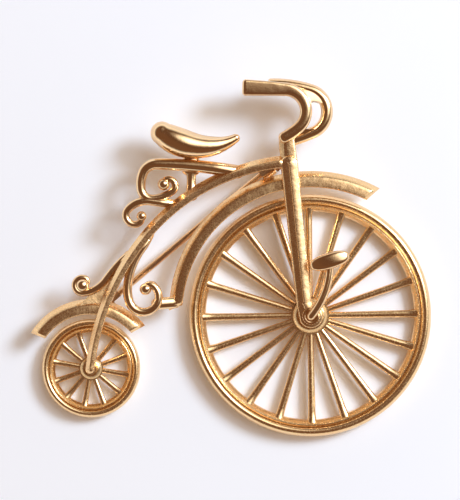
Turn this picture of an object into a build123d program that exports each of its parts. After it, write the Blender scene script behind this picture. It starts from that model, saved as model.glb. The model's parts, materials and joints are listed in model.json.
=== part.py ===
from build123d import *
from collections import namedtuple
from math import atan2, cos, degrees, radians, sin
import os

# A gold-tone brooch in the form of a high-wheel bicycle, lying face up on its back.
# Millimetres. X runs from the small rear wheel to the large front wheel, Y from the
# wheels to the handlebar, and Z out of the brooch's face. The table is at Z = 0, and
# the origin is in the middle of the brooch's outline.

# Head of the frame, where spine, fork and stem meet
HEAD_X = 8.12
HEAD_Y = 13.18

# Fork, measured from the head to the front hub, and its foot beside the hub
FORK_DROP = 21.4
FORK_TRAIL = 3.04
FORK_TOP_WIDTH = 2.45
FORK_FOOT_WIDTH = 2.15
FORK_FOOT_RISE = 1.7
FORK_FOOT_INSET = 0.95
FORK_EYE_DIAMETER = 3.4
FORK_THICKNESS = 1.7
FORK_EDGE_ROUND = 0.3
FORK_FLANK_WIDTH = 0.95
FORK_FLANK_DROP = 0.75

# Spine, from beside the head in two tangent arcs down to the rear hub
SPINE_START_LEFT = 1.5
SPINE_START_RISE = 0.27
SPINE_HEADING = 187.4
SPINE_UPPER_RADIUS = 29.1
SPINE_UPPER_TURN = 43.6
SPINE_LOWER_RADIUS = 35.4
SPINE_LOWER_TURN = 33.1
SPINE_HEAD_WIDTH = 1.75
SPINE_TAIL_WIDTH = 1.25
SPINE_THICKNESS = 1.5
SPINE_FLANK_WIDTH = 0.55
SPINE_FLANK_DROP = 0.75
SPINE_INNER_BEVEL = 0.25
SPINE_END_BEVEL = 0.3
SPINE_END_INSET = 0.05

# Mudguards: a flat band with a bevelled outer edge, behind fork and spine
GUARD_BACK = 2.6
GUARD_THICKNESS = 1.4
GUARD_BEVEL_WIDTH = 0.8
GUARD_BEVEL_DROP = 0.7
GUARD_INNER_ROUND = 0.2
GUARD_CORNER_SLANT = 2.8
FRONT_GUARD_GAP = 0.95
FRONT_GUARD_WIDTH = 2.35
FRONT_GUARD_FROM = 61.4
FRONT_GUARD_TO = 178.0
REAR_GUARD_GAP = 0.7
REAR_GUARD_WIDTH = 2.15
REAR_GUARD_FROM = 38.4
REAR_GUARD_TO = 149.0

# Axles and the fits that they turn in
FRONT_AXLE_DIAMETER = 0.9
REAR_AXLE_DIAMETER = 0.6
AXLE_HEAD_THICKNESS = 0.5
AXLE_HEAD_OVERHANG = 0.5
AXLE_HEAD_BACK = 0.25
AXLE_PROUD = 0.12
AXLE_END_ROUND = 0.15
RUNNING_GAP = 0.05
SEAT_GAP = 0.01
SIDE_GAP = 0.15

# Crank and pedal, which turn with the front wheel
CRANK_THROW = 8.2
CRANK_ANGLE = 71.6
CRANK_BOW = 42.0
CRANK_DIAMETER = 1.2
CRANK_BOSS_DIAMETER = 2.5
CRANK_BOSS_THICKNESS = 1.35
PEDAL_LENGTH = 5.7
PEDAL_WIDTH = 2.05
PEDAL_THICKNESS = 1.9
PEDAL_TILT = 16.7
PEDAL_EDGE_ROUND = 0.9
PEDAL_LIFT = 0.25

# Handlebar and the stem that carries it
STEM_RISE = 3.6
STEM_LEAN = 0.35
STEM_TOP_WIDTH = 2.2
STEM_FOOT_WIDTH = 2.45
STEM_FRONT = 5.3
STEM_EDGE_ROUND = 0.3
GRIP_DIAMETER = 2.3
BAR_BEND_DIAMETER = 1.85
BAR_END_DIAMETER = 1.7
GRIP_CAP = 0.25
GRIP_SHARE = 0.4
FAR_BAR_DIAMETER = 1.7
NEAR_BAR_LEVEL = 5.8
FAR_BAR_LEVEL = 4.1
BAR_WEB_BACK = 3.5
BAR_WEB_FRONT = 4.7
BAR_WEB_INSET = 0.35
BAR_WEB_STEPS = 6

# Saddle, its neck and the strut under the seat rail
SADDLE_BACK_LEFT = 4.08
SADDLE_BACK_RISE = 4.59
SADDLE_HEADING = -34.6
SADDLE_LEVEL = 4.9
NECK_WAIST = 2.2
STRUT_WAIST = 1.3
WEB_FLARE = 0.45
WEB_THICKNESS = 1.1
WEB_EDGE_ROUND = 0.3
STRUT_ALONG_SPINE = 13.2
STRUT_RAIL_SHARE = 0.261
NECK_SADDLE_SHARE = 0.402

# Scrolls
SCROLL_LINK_DIAMETER = 0.9
SCROLL_LINK_SHARE = 0.66
GUSSET_THICKNESS = 0.9
GUSSET_PROUD = 0.15
GUSSET_GUARD_ANGLE = 100.0
GUSSET_SCROLL_SHARE = 0.5
GUSSET_FROM_TAIL = 8.7
GUSSET_HOLLOW = 0.35

# Pin, its hinge and its catch, on the back
PIN_LEVEL = 1.35
PIN_DIAMETER = 0.95
PIN_TIP_DIAMETER = 0.7
PIN_POINT_DIAMETER = 0.16
PIN_OVERRUN = 2.6
PIN_TAPER_LENGTH = 6.0
PIN_POINT_LENGTH = 1.6
PIN_EYE_DIAMETER = 1.4
PIN_EYE_WIDTH = 0.9
PIN_TONGUE_LENGTH = 2.2
PIN_TONGUE_HEIGHT = 0.8
HINGE_ANGLE = 76.0
HINGE_ACROSS_GUARD = 0.85
HINGE_PIN_DIAMETER = 0.56
HINGE_EAR_THICKNESS = 0.55
HINGE_EAR_DIAMETER = 1.8
HINGE_BASE_THICKNESS = 0.35
HINGE_SIDE_GAP = 0.08
CATCH_ALONG = 1.92
CATCH_INWARD = 0.8
CATCH_LENGTH = 2.0
CATCH_OUTER_DIAMETER = 2.6
CATCH_WALL_SHARE = 0.46
CATCH_NECK_WIDTH = 1.2
BARREL_BORE_GAP = 0.08
BARREL_SLOT_GAP = 0.06
CATCH_SLOT_GAP = 0.11
BARREL_REACH = 0.9
BARREL_TAB_REACH = 0.32
BARREL_TAB_WIDTH = 0.5

# Wheels: cast in one piece, a round bead, a groove, a narrow ring inside it, spokes that
# widen outwards to flared feet, and a ringed hub
Wheel = namedtuple(
    "Wheel",
    "label radius bead_width bead_height rim_width rim_height spokes spoke_hub_diameter "
    "spoke_rim_diameter spoke_foot first_spoke flange_radius ring_diameter barrel_diameter",
)
FRONT_WHEEL = Wheel("front_wheel", 17.2, 1.55, 2.4, 0.85, 1.5, 20, 0.74, 1.06, 1.0, 1.0, 2.7, 0.8, 3.4)
REAR_WHEEL = Wheel("rear_wheel", 7.0, 1.2, 2.0, 0.7, 1.3, 12, 0.6, 0.78, 0.6, 20.0, 1.7, 0.55, 1.7)
RIM_RING_SHARE = 0.62
RIM_GROOVE_DEPTH = 0.38
SPOKE_FOOT_FLARE = 1.45
HUB_BACK = 0.1
FLANGE_BACK = 0.5
RIM_OVERLAP = 0.3
BEAD_FLAT = 0.12

# Scrolls: the place on the spine that each is set out from (length along it from the head,
# or back from the rear hub where negative), its root from there (ahead along the spine,
# side step, veer from its heading), its level above the spine's back, ball diameter, its
# tangent arcs as (radius, turn), and its bar as (share of its length, diameter)
Scroll = namedtuple("Scroll", "label along ahead outward veer rise ball arcs bar")
RAIL_ARCS = [
    (70.7, 9.3), (2.06, 68.5), (4.15, 33.3), (1.55, 86.1), (5.97, 27.7), (0.96, 169.2), (0.55, 82.2),
]
UPPER_ARCS = [(19.0, -10.1), (3.54, 58.1), (1.28, 131.6), (0.96, 101.8)]
REAR_ARCS = [(22.4, 12.4), (4.49, -48.2), (1.07, -200.0), (0.535, -180.0)]
LOWER_ARCS = [(9.2, -15.0), (10.0, 33.9), (5.3, 22.3), (2.11, 208.4), (0.7, 126.2)]
RAIL_BAR = [(0.0, 1.9), (0.2, 1.8), (0.42, 1.65), (0.6, 1.4), (1.0, 0.85)]
UPPER_BAR = [(0.0, 1.2), (0.4, 1.25), (1.0, 0.95)]
REAR_BAR = [(0.0, 0.95), (0.5, 1.05), (1.0, 0.85)]
LOWER_BAR = [(0.0, 1.1), (0.4, 1.3), (1.0, 1.1)]
SCROLLS = [
    Scroll("scroll_seat_rail", 15.8, -9.69, -1.66, -48.55, 0.72, 1.75, RAIL_ARCS, RAIL_BAR),
    Scroll("scroll_upper", 15.8, 0.0, 0.36, -38.3, 0.72, 1.45, UPPER_ARCS, UPPER_BAR),
    Scroll("scroll_rear", -17.2, 0.0, 0.45, -13.8, 0.3, 1.95, REAR_ARCS, REAR_BAR),
    Scroll("scroll_lower", -21.3, 0.0, -0.35, 18.4, 0.3, 1.7, LOWER_ARCS, LOWER_BAR),
]

# Handlebar arcs as (radius, turn), from the free end to the stem
Bar = namedtuple("Bar", "label left rise level heading grip arcs")
BARS = [
    Bar("handlebar_near", -6.2, 10.69, NEAR_BAR_LEVEL, -1.8, GRIP_DIAMETER,
        [(203.0, -1.6), (3.06, -136.6), (11.7, -11.6)]),
    Bar("handlebar_far", -2.63, 11.25, FAR_BAR_LEVEL, 1.6, FAR_BAR_DIAMETER,
        [(17.6, -18.9), (3.2, -138.9), (26.2, -7.4)]),
]

# Webs between the two bars, as (near bar from, to, far bar from, to) in shares of their lengths
BarWeb = namedtuple("BarWeb", "near_from near_to far_from far_to")
BAR_WEBS = [BarWeb(0.35, 0.6, 0.24, 0.53), BarWeb(0.84, 0.9, 0.74, 0.87)]

# Saddle stations: share of its length and diameter there, and its arcs
SADDLE_ARCS = [(10.9, 30.2), (8.55, 34.9)]
SADDLE_STATIONS = [
    (0.0, 3.3), (0.09, 3.75), (0.27, 4.05), (0.52, 3.4), (0.72, 2.65), (0.89, 1.75), (1.0, 1.25),
]

os.makedirs("parts", exist_ok=True)
low_end = (Align.CENTER, Align.CENTER, Align.MIN)
deck = GUARD_BACK + GUARD_THICKNESS
head = Vector(HEAD_X, HEAD_Y)
front_hub = head + Vector(FORK_TRAIL, -FORK_DROP)


def finish(piece, label):
    """Name a finished piece and write it."""
    piece.part.label = label
    export_step(piece.part, f"parts/{label}.step")


def direction(angle):
    """The unit vector in the brooch's plane at this angle from X."""
    return Vector(cos(radians(angle)), sin(radians(angle)))


def arc_chain(start, heading, arcs):
    """A path of tangent arcs, each (radius, turn), turning left where the turn is positive."""
    with BuildLine() as path:
        position = start
        tangent = direction(heading)
        for radius, turn in arcs:
            arc = JernArc(start=position, tangent=tangent, radius=radius, arc_size=turn)
            position = arc @ 1
            tangent = arc % 1
    return path.wire()


def lifted(point, level):
    """A point of the plane, at a level above the table."""
    return Vector(point.X, point.Y, level)


def across(path, share):
    """The plane across a flat path, with its own X pointing out of the brooch's face."""
    return Plane(origin=path @ share, x_dir=(0, 0, 1), z_dir=path % share)


def side_of(path, share):
    """The unit vector to the right of a flat path."""
    tangent = path % share
    return Vector(tangent.Y, -tangent.X)


# Spine path, which gives the rear hub its place
spine_start = head + Vector(-SPINE_START_LEFT, SPINE_START_RISE)
spine_arcs = [(SPINE_UPPER_RADIUS, SPINE_UPPER_TURN), (SPINE_LOWER_RADIUS, SPINE_LOWER_TURN)]
spine_path = arc_chain(spine_start, SPINE_HEADING, spine_arcs)
rear_hub = spine_path @ 1
upper_length = SPINE_UPPER_RADIUS * radians(SPINE_UPPER_TURN)
knee = upper_length / spine_path.length


def along_spine(length):
    """The share of the spine at a length from the head, or back from the rear hub where negative."""
    return (length / spine_path.length) % 1


def carry(path, draw):
    """Carry a section along a path inside a part's block; draw(share) sketches it on the way."""
    travelled = 0
    for arc in path.order_edges():
        sections = []
        for end in (0, 1):
            with BuildSketch(across(arc, end)) as section:
                draw((travelled + end * arc.length) / path.length)
            sections.append(section.sketch.face())
        sweep(sections=sections, path=arc, multisection=True)
        travelled += arc.length


def spine_section(share):
    """The spine's section: a flat back, a wide bevel on its outer side and a small one inside."""
    half = (SPINE_HEAD_WIDTH + (SPINE_TAIL_WIDTH - SPINE_HEAD_WIDTH) * share) / 2
    shoulder = SPINE_THICKNESS - SPINE_FLANK_DROP
    inner_shoulder = SPINE_THICKNESS - SPINE_INNER_BEVEL
    Polygon(
        (inner_shoulder, -half),
        (SPINE_THICKNESS, SPINE_INNER_BEVEL - half),
        (SPINE_THICKNESS, half - SPINE_FLANK_WIDTH),
        (shoulder, half),
        (0, half),
        (0, -half),
        align=None,
    )


# Fork: a tapering blade whose foot steps over to an eye round the front axle, with a wide
# bevel filed along its left flank
fork_foot = front_hub + Vector(-FORK_FOOT_INSET, FORK_FOOT_RISE)
fork_way = (fork_foot - head).normalized()
fork_left = Vector(fork_way.Y, -fork_way.X)
flank_top = head + fork_left * (FORK_TOP_WIDTH / 2)
flank_run = fork_foot + fork_left * (FORK_FOOT_WIDTH / 2) - flank_top
flank_start = lifted(flank_top - flank_run.normalized() * FORK_TOP_WIDTH, deck + FORK_THICKNESS)
with BuildPart() as fork:
    with BuildSketch(Plane.XY.offset(deck)):
        with Locations(head):
            Circle(FORK_TOP_WIDTH / 2)
        with Locations(fork_foot):
            Circle(FORK_FOOT_WIDTH / 2)
        make_hull()
    extrude(amount=FORK_THICKNESS)
    with BuildSketch(Plane.XY.offset(deck)):
        with Locations(fork_foot):
            Circle(FORK_FOOT_WIDTH / 2)
        with Locations(front_hub):
            Circle(FORK_EYE_DIAMETER / 2)
        make_hull()
    extrude(amount=FORK_THICKNESS)
    fillet(fork.faces().sort_by(Axis.Z)[-1].edges(), radius=FORK_EDGE_ROUND)
    fork_blank = fork.part
    with BuildSketch(Plane(origin=flank_start, x_dir=(0, 0, 1), z_dir=flank_run)):
        Polygon(
            (0, -FORK_FLANK_WIDTH),
            (-FORK_FLANK_DROP, 0),
            (-FORK_FLANK_DROP, FORK_FLANK_WIDTH),
            (FORK_FLANK_DROP, FORK_FLANK_WIDTH),
            (FORK_FLANK_DROP, -FORK_FLANK_WIDTH),
            align=None,
        )
    extrude(amount=flank_run.length + FORK_TOP_WIDTH, mode=Mode.SUBTRACT)
    with BuildSketch(Plane.XY.offset(deck)):
        with Locations(front_hub):
            Circle(FRONT_AXLE_DIAMETER / 2 + RUNNING_GAP)
    extrude(amount=FORK_THICKNESS, mode=Mode.SUBTRACT)
finish(fork, "fork")

# Spine: one tapering section carried along two arcs, round at both ends, and let in beside
# the fork
with BuildPart() as spine:
    carry(arc_chain(lifted(spine_start, deck), SPINE_HEADING, spine_arcs), spine_section)
    for end, width in ((spine_start, SPINE_HEAD_WIDTH), (rear_hub, SPINE_TAIL_WIDTH)):
        shoulder = SPINE_THICKNESS - SPINE_END_BEVEL
        end_radius = width / 2 - SPINE_END_INSET
        with Locations(lifted(end, deck)):
            Cylinder(end_radius, shoulder, align=low_end)
        with Locations(lifted(end, deck + shoulder)):
            Cone(end_radius, end_radius - SPINE_END_BEVEL, SPINE_END_BEVEL, align=low_end)
    with BuildSketch(Plane.XY.offset(deck)):
        with Locations(rear_hub):
            Circle(REAR_AXLE_DIAMETER / 2 + SEAT_GAP)
    extrude(amount=SPINE_THICKNESS, mode=Mode.SUBTRACT)
    add(fork.part, mode=Mode.SUBTRACT)
finish(spine, "spine")


def build_guard(hub, inner_radius, width, first_angle, last_angle):
    """A mudguard: a ring sector with slanted ends and a bevelled outer edge."""
    outer_radius = inner_radius + width
    with BuildPart() as guard:
        with BuildSketch(Plane.XY.offset(GUARD_BACK)):
            with BuildLine():
                sweep_angle = last_angle - first_angle
                outer = CenterArc(hub, outer_radius, first_angle, sweep_angle)
                slanted = sweep_angle - 2 * GUARD_CORNER_SLANT
                inner = CenterArc(hub, inner_radius, first_angle + GUARD_CORNER_SLANT, slanted)
                Line(outer @ 0, inner @ 0)
                Line(outer @ 1, inner @ 1)
            make_face()
        extrude(amount=GUARD_THICKNESS)
        front_face = guard.faces().sort_by(Axis.Z)[-1]
        arcs = front_face.edges().filter_by(GeomType.CIRCLE).sort_by(SortBy.RADIUS)
        chamfer(arcs[-1], length=GUARD_BEVEL_WIDTH, length2=GUARD_BEVEL_DROP, reference=front_face)
        front_face = guard.faces().sort_by(Axis.Z)[-1]
        arcs = front_face.edges().filter_by(GeomType.CIRCLE).sort_by(SortBy.RADIUS)
        fillet(arcs[0], radius=GUARD_INNER_ROUND)
    return guard


front_guard_inner = FRONT_WHEEL.radius + FRONT_GUARD_GAP
front_guard = build_guard(front_hub, front_guard_inner, FRONT_GUARD_WIDTH, FRONT_GUARD_FROM, FRONT_GUARD_TO)
finish(front_guard, "front_mudguard")
rear_guard_inner = REAR_WHEEL.radius + REAR_GUARD_GAP
rear_guard = build_guard(rear_hub, rear_guard_inner, REAR_GUARD_WIDTH, REAR_GUARD_FROM, REAR_GUARD_TO)
finish(rear_guard, "rear_mudguard")


def diameter_at(stations, share):
    """The diameter at a share of a bar's length, straight between its (share, diameter) stations."""
    for (first, wide), (last, narrow) in zip(stations, stations[1:]):
        if share <= last:
            return wide + (narrow - wide) * (share - first) / (last - first)
    return stations[-1][1]


def tapered_bar(path, stations):
    """A round bar along a path, through (share, diameter) stations, inside a part's block."""
    carry(path, lambda share: Circle(diameter_at(stations, share) / 2))


# Scrolls: round bars that grow out of the spine and curl up to a ball
guard_end_way = direction(FRONT_GUARD_TO - GUARD_CORNER_SLANT)
guard_end = front_hub + guard_end_way * (front_guard_inner + FRONT_GUARD_WIDTH / 2)
scroll_paths = {}
curls = {}
for scroll in SCROLLS:
    level = deck + scroll.rise
    place = along_spine(scroll.along)
    spine_tangent = spine_path % place
    root = spine_path @ place + spine_tangent * scroll.ahead + side_of(spine_path, place) * scroll.outward
    heading = degrees(atan2(spine_tangent.Y, spine_tangent.X)) + scroll.veer
    path = arc_chain(lifted(root, level), heading, scroll.arcs)
    scroll_paths[scroll.label] = path
    with BuildPart() as curl:
        tapered_bar(path, scroll.bar)
        with Locations(path @ 1):
            Sphere(scroll.ball / 2)
        if scroll.label == "scroll_lower":
            near_side = path @ SCROLL_LINK_SHARE
            link = Vector(guard_end.X - near_side.X, guard_end.Y - near_side.Y, 0)
            with BuildSketch(Plane(origin=near_side, z_dir=link)):
                Circle(SCROLL_LINK_DIAMETER / 2)
            extrude(amount=link.length)
        for neighbour in [fork, spine, front_guard, rear_guard, *curls.values()]:
            add(neighbour.part, mode=Mode.SUBTRACT)
    finish(curl, scroll.label)
    curls[scroll.label] = curl


def build_web(foot, top, waist):
    """A flat neck between two points of one level, slim at its middle and flared at both ends."""
    span = top - foot
    flared = waist / 2 + WEB_FLARE
    with BuildPart() as web:
        with BuildSketch(Plane(origin=foot, x_dir=span, z_dir=(0, 0, 1))):
            with BuildLine():
                for sign in (1, -1):
                    middle = (span.length / 2, sign * waist / 2)
                    ThreePointArc((0, sign * flared), middle, (span.length, sign * flared))
                for end in (0, span.length):
                    Line((end, flared), (end, -flared))
            make_face()
        extrude(amount=WEB_THICKNESS / 2, both=True)
        fillet(web.edges().filter_by(GeomType.CIRCLE), radius=WEB_EDGE_ROUND)
    return web


# Saddle: a polished horn, thick at its back and drawn out to a point
rail_path = scroll_paths["scroll_seat_rail"]
rail_point = rail_path @ STRUT_RAIL_SHARE
saddle_start = lifted(rail_point + Vector(-SADDLE_BACK_LEFT, SADDLE_BACK_RISE), SADDLE_LEVEL)
saddle_path = arc_chain(saddle_start, SADDLE_HEADING, SADDLE_ARCS)
with BuildPart() as saddle:
    for share, diameter in SADDLE_STATIONS:
        with BuildSketch(across(saddle_path, share)):
            Circle(diameter / 2)
    loft()
    for share, diameter in (SADDLE_STATIONS[0], SADDLE_STATIONS[-1]):
        with Locations(saddle_path @ share):
            Sphere(diameter / 2)
finish(saddle, "saddle")

# Strut from spine to seat rail, and neck from seat rail to saddle
spine_point = spine_path @ along_spine(STRUT_ALONG_SPINE)
strut = build_web(lifted(spine_point, rail_point.Z), rail_point, STRUT_WAIST)
neck = build_web(rail_point, lifted(saddle_path @ NECK_SADDLE_SHARE, rail_point.Z), NECK_WAIST)
rail = curls["scroll_seat_rail"]
with strut:
    add(spine.part, mode=Mode.SUBTRACT)
    add(rail.part, mode=Mode.SUBTRACT)
with neck:
    add(rail.part, mode=Mode.SUBTRACT)
    add(saddle.part, mode=Mode.SUBTRACT)
finish(strut, "seat_strut")
finish(neck, "seat_neck")

# Gusset: a low plate that fills the corner between rear scroll, spine and mudguard
rear_path = scroll_paths["scroll_rear"]
guard_crown = rear_hub + direction(GUSSET_GUARD_ANGLE) * (rear_guard_inner + REAR_GUARD_WIDTH)
with BuildPart() as gusset:
    with BuildSketch(Plane.XY.offset(deck + GUSSET_PROUD - GUSSET_THICKNESS)):
        with BuildLine():
            scroll_foot = lifted(rear_path @ GUSSET_SCROLL_SHARE, 0)
            scroll_waist = lifted(rear_path @ (GUSSET_SCROLL_SHARE / 2), 0)
            scroll_root = lifted(rear_path @ 0, 0)
            ThreePointArc(scroll_root, scroll_waist, scroll_foot)
            hollow = (scroll_foot + guard_crown) * 0.5 + Vector(GUSSET_HOLLOW, 0)
            ThreePointArc(scroll_foot, hollow, guard_crown)
            Polyline(guard_crown, spine_path @ along_spine(-GUSSET_FROM_TAIL), scroll_root)
        make_face()
    extrude(amount=GUSSET_THICKNESS)
    for neighbour in [fork, spine, front_guard, rear_guard, *curls.values()]:
        add(neighbour.part, mode=Mode.SUBTRACT)
finish(gusset, "gusset")

# Handlebar: two bent bars, one above the other, joined by webs, and the stem that carries them
bars = []
bar_paths = []
for bar in BARS:
    start = lifted(head + Vector(bar.left, bar.rise), bar.level)
    path = arc_chain(start, bar.heading, bar.arcs)
    with BuildPart() as handle:
        bend = min(bar.grip, BAR_BEND_DIAMETER)
        tapered_bar(path, [(0.0, bar.grip), (GRIP_SHARE, bend), (1.0, BAR_END_DIAMETER)])
        with Locations(Plane(origin=path @ 0, z_dir=(path % 0) * -1)):
            Cone(bar.grip / 2, bar.grip / 2 - GRIP_CAP, GRIP_CAP, align=low_end)
        for web in BAR_WEBS if bars else []:
            with BuildSketch(Plane.XY.offset(BAR_WEB_BACK)):
                with BuildLine():
                    near_side = []
                    far_side = []
                    for step in range(BAR_WEB_STEPS + 1):
                        t = step / BAR_WEB_STEPS
                        near = lifted(bar_paths[0] @ (web.near_from + t * (web.near_to - web.near_from)), 0)
                        far = lifted(path @ (web.far_from + t * (web.far_to - web.far_from)), 0)
                        near_side.append(near)
                        far_side.insert(0, far + (near - far).normalized() * BAR_WEB_INSET)
                    Polyline(*near_side, *far_side, close=True)
                make_face()
            extrude(amount=BAR_WEB_FRONT - BAR_WEB_BACK)
        for neighbour in bars:
            add(neighbour.part, mode=Mode.SUBTRACT)
    finish(handle, bar.label)
    bars.append(handle)
    bar_paths.append(path)
with BuildPart() as stem:
    with BuildSketch(Plane.XY.offset(GUARD_BACK)):
        with Locations(head):
            Circle(STEM_FOOT_WIDTH / 2)
        with Locations(head + Vector(-STEM_LEAN, STEM_RISE)):
            Circle(STEM_TOP_WIDTH / 2)
        make_hull()
    extrude(amount=STEM_FRONT - GUARD_BACK)
    fillet(stem.faces().sort_by(Axis.Z)[-1].edges(), radius=STEM_EDGE_ROUND)
    add(fork_blank, mode=Mode.SUBTRACT)
    for neighbour in [spine, front_guard, *bars]:
        add(neighbour.part, mode=Mode.SUBTRACT)
finish(stem, "stem")


def build_wheel(wheel, hub, bore, recess):
    """A cast wheel: bead, rim and hub turned about the axle, and a ring of round spokes."""
    turning = Axis((hub.X, hub.Y, 0), (0, 0, 1))
    section = Plane((hub.X, hub.Y, 0), x_dir=(1, 0, 0), z_dir=(0, -1, 0))
    mid_level = wheel.bead_height / 2
    rim_inner = wheel.radius - wheel.bead_width - wheel.rim_width
    spoke_root = wheel.flange_radius - wheel.ring_diameter
    flange_front = mid_level + wheel.rim_height / 2
    with BuildPart(Plane((hub.X, hub.Y, 0))) as cast:
        with BuildSketch(section):
            with Locations((wheel.radius - wheel.bead_width / 2, mid_level)):
                RectangleRounded(wheel.bead_width, wheel.bead_height, (wheel.bead_width - BEAD_FLAT) / 2)
            with Locations((rim_inner, mid_level - wheel.rim_height / 2)):
                low_corner = (Align.MIN, Align.MIN)
                groove_front = wheel.rim_height - RIM_GROOVE_DEPTH
                Rectangle(wheel.rim_width + RIM_OVERLAP, groove_front, align=low_corner)
                Rectangle(wheel.rim_width * RIM_RING_SHARE, wheel.rim_height, align=low_corner)
            with Locations((0, FLANGE_BACK)):
                Rectangle(wheel.flange_radius, flange_front - FLANGE_BACK, align=(Align.MIN, Align.MIN))
            with Locations((wheel.flange_radius - wheel.ring_diameter / 2, flange_front)):
                Circle(wheel.ring_diameter / 2)
            with Locations((0, HUB_BACK)):
                Rectangle(wheel.barrel_diameter / 2, deck - SIDE_GAP - HUB_BACK, align=(Align.MIN, Align.MIN))
            Rectangle(bore, deck, align=(Align.MIN, Align.MIN), mode=Mode.SUBTRACT)
            Rectangle(recess, recess_depth, align=(Align.MIN, Align.MIN), mode=Mode.SUBTRACT)
        revolve(axis=turning)
        spoke_length = rim_inner + RIM_OVERLAP - spoke_root
        rim_half = wheel.spoke_rim_diameter / 2
        with Locations((0, 0, mid_level)):
            with PolarLocations(spoke_root, wheel.spokes, start_angle=wheel.first_spoke):
                Cone(wheel.spoke_hub_diameter / 2, rim_half, spoke_length, rotation=(0, 90, 0), align=low_end)
            with PolarLocations(rim_inner - wheel.spoke_foot, wheel.spokes, start_angle=wheel.first_spoke):
                foot_half = rim_half * SPOKE_FOOT_FLARE
                foot_length = wheel.spoke_foot + RIM_OVERLAP
                Cone(rim_half, foot_half, foot_length, rotation=(0, 90, 0), align=low_end)
    return cast


def build_axle(hub, diameter, front):
    """A riveted axle: a flat head at the back and a slightly rounded front end."""
    with BuildPart(Plane((hub.X, hub.Y, AXLE_HEAD_BACK))) as axle:
        Cylinder(diameter / 2, front - AXLE_HEAD_BACK, align=low_end)
        chamfer(axle.faces().sort_by(Axis.Z)[-1].edges(), length=diameter * AXLE_END_ROUND)
        Cylinder(diameter / 2 + AXLE_HEAD_OVERHANG, AXLE_HEAD_THICKNESS, align=low_end)
    return axle


recess_depth = AXLE_HEAD_BACK + AXLE_HEAD_THICKNESS + RUNNING_GAP
front_recess = FRONT_AXLE_DIAMETER / 2 + AXLE_HEAD_OVERHANG + RUNNING_GAP
rear_recess = REAR_AXLE_DIAMETER / 2 + AXLE_HEAD_OVERHANG + RUNNING_GAP
front_wheel = build_wheel(FRONT_WHEEL, front_hub, FRONT_AXLE_DIAMETER / 2 + SEAT_GAP, front_recess)
rear_wheel = build_wheel(REAR_WHEEL, rear_hub, REAR_AXLE_DIAMETER / 2 + RUNNING_GAP, rear_recess)
finish(front_wheel, "front_wheel")
finish(rear_wheel, "rear_wheel")
crank_back = deck + FORK_THICKNESS + SIDE_GAP
crank_front = crank_back + CRANK_BOSS_THICKNESS
front_axle = build_axle(front_hub, FRONT_AXLE_DIAMETER, crank_front + AXLE_PROUD)
rear_axle = build_axle(rear_hub, REAR_AXLE_DIAMETER, deck + SPINE_THICKNESS + AXLE_PROUD)
finish(front_axle, "front_axle")
finish(rear_axle, "rear_axle")

# Crank: a bowed rod from a boss on the axle, and the pedal on its end
crank_level = crank_back + CRANK_BOSS_THICKNESS / 2
crank_radius = CRANK_THROW / (2 * sin(radians(CRANK_BOW / 2)))
crank_start = lifted(front_hub, crank_level)
crank_path = arc_chain(crank_start, CRANK_ANGLE - CRANK_BOW / 2, [(crank_radius, CRANK_BOW)])
with BuildPart() as crank:
    with BuildSketch(across(crank_path, 0)):
        Circle(CRANK_DIAMETER / 2)
    sweep(path=crank_path)
    with Locations(crank_start):
        Cylinder(CRANK_BOSS_DIAMETER / 2, CRANK_BOSS_THICKNESS)
        Cylinder(FRONT_AXLE_DIAMETER / 2 + SEAT_GAP, CRANK_BOSS_THICKNESS, mode=Mode.SUBTRACT)
finish(crank, "crank")
with BuildPart() as pedal:
    with BuildSketch(Plane.XY.offset(crank_back + PEDAL_LIFT)):
        with Locations(lifted(crank_path @ 1, 0)):
            SlotOverall(PEDAL_LENGTH, PEDAL_WIDTH, rotation=PEDAL_TILT)
    extrude(amount=PEDAL_THICKNESS)
    flat_faces = pedal.faces().filter_by(Axis.Z)
    fillet(flat_faces.edges(), radius=PEDAL_EDGE_ROUND)
    add(crank.part, mode=Mode.SUBTRACT)
finish(pedal, "pedal")

# Pin line on the back, from a hinge behind the rear mudguard to a catch behind the head
hinge_reach = rear_guard_inner + REAR_GUARD_WIDTH * HINGE_ACROSS_GUARD
hinge_point = lifted(rear_hub + direction(HINGE_ANGLE) * hinge_reach, PIN_LEVEL)
catch_share = along_spine(CATCH_ALONG)
catch_on_spine = spine_path @ catch_share
catch_point = lifted(catch_on_spine - side_of(spine_path, catch_share) * CATCH_INWARD, PIN_LEVEL)
pin_span = catch_point - hinge_point
pin_way = pin_span.normalized()
hinge_way = Vector(-pin_way.Y, pin_way.X)
pin_frame = Plane(origin=hinge_point, x_dir=hinge_way, z_dir=pin_way)
catch_frame = Plane(origin=catch_point, x_dir=hinge_way, z_dir=pin_way)

# Pin: an eye on the hinge, a flat tongue between its ears, a straight shank, a long taper and a point
tip_reach = pin_span.length + CATCH_LENGTH / 2 + PIN_OVERRUN
shank_end = tip_reach - PIN_TAPER_LENGTH - PIN_POINT_LENGTH
with BuildPart(pin_frame) as pin:
    Box(PIN_EYE_WIDTH, PIN_TONGUE_HEIGHT, PIN_TONGUE_LENGTH, align=low_end)
    with Locations((0, 0, PIN_TONGUE_LENGTH)):
        Cylinder(PIN_DIAMETER / 2, shank_end - PIN_TONGUE_LENGTH, align=low_end)
    with Locations((0, 0, shank_end)):
        Cone(PIN_DIAMETER / 2, PIN_TIP_DIAMETER / 2, PIN_TAPER_LENGTH, align=low_end)
    with Locations((0, 0, shank_end + PIN_TAPER_LENGTH)):
        Cone(PIN_TIP_DIAMETER / 2, PIN_POINT_DIAMETER / 2, PIN_POINT_LENGTH, align=low_end)
    Cylinder(PIN_EYE_DIAMETER / 2, PIN_EYE_WIDTH, rotation=(0, 90, 0))
    hinge_bore = HINGE_PIN_DIAMETER / 2 + RUNNING_GAP
    Cylinder(hinge_bore, PIN_EYE_WIDTH * 2, rotation=(0, 90, 0), mode=Mode.SUBTRACT)
finish(pin, "pin_stem")

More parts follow.
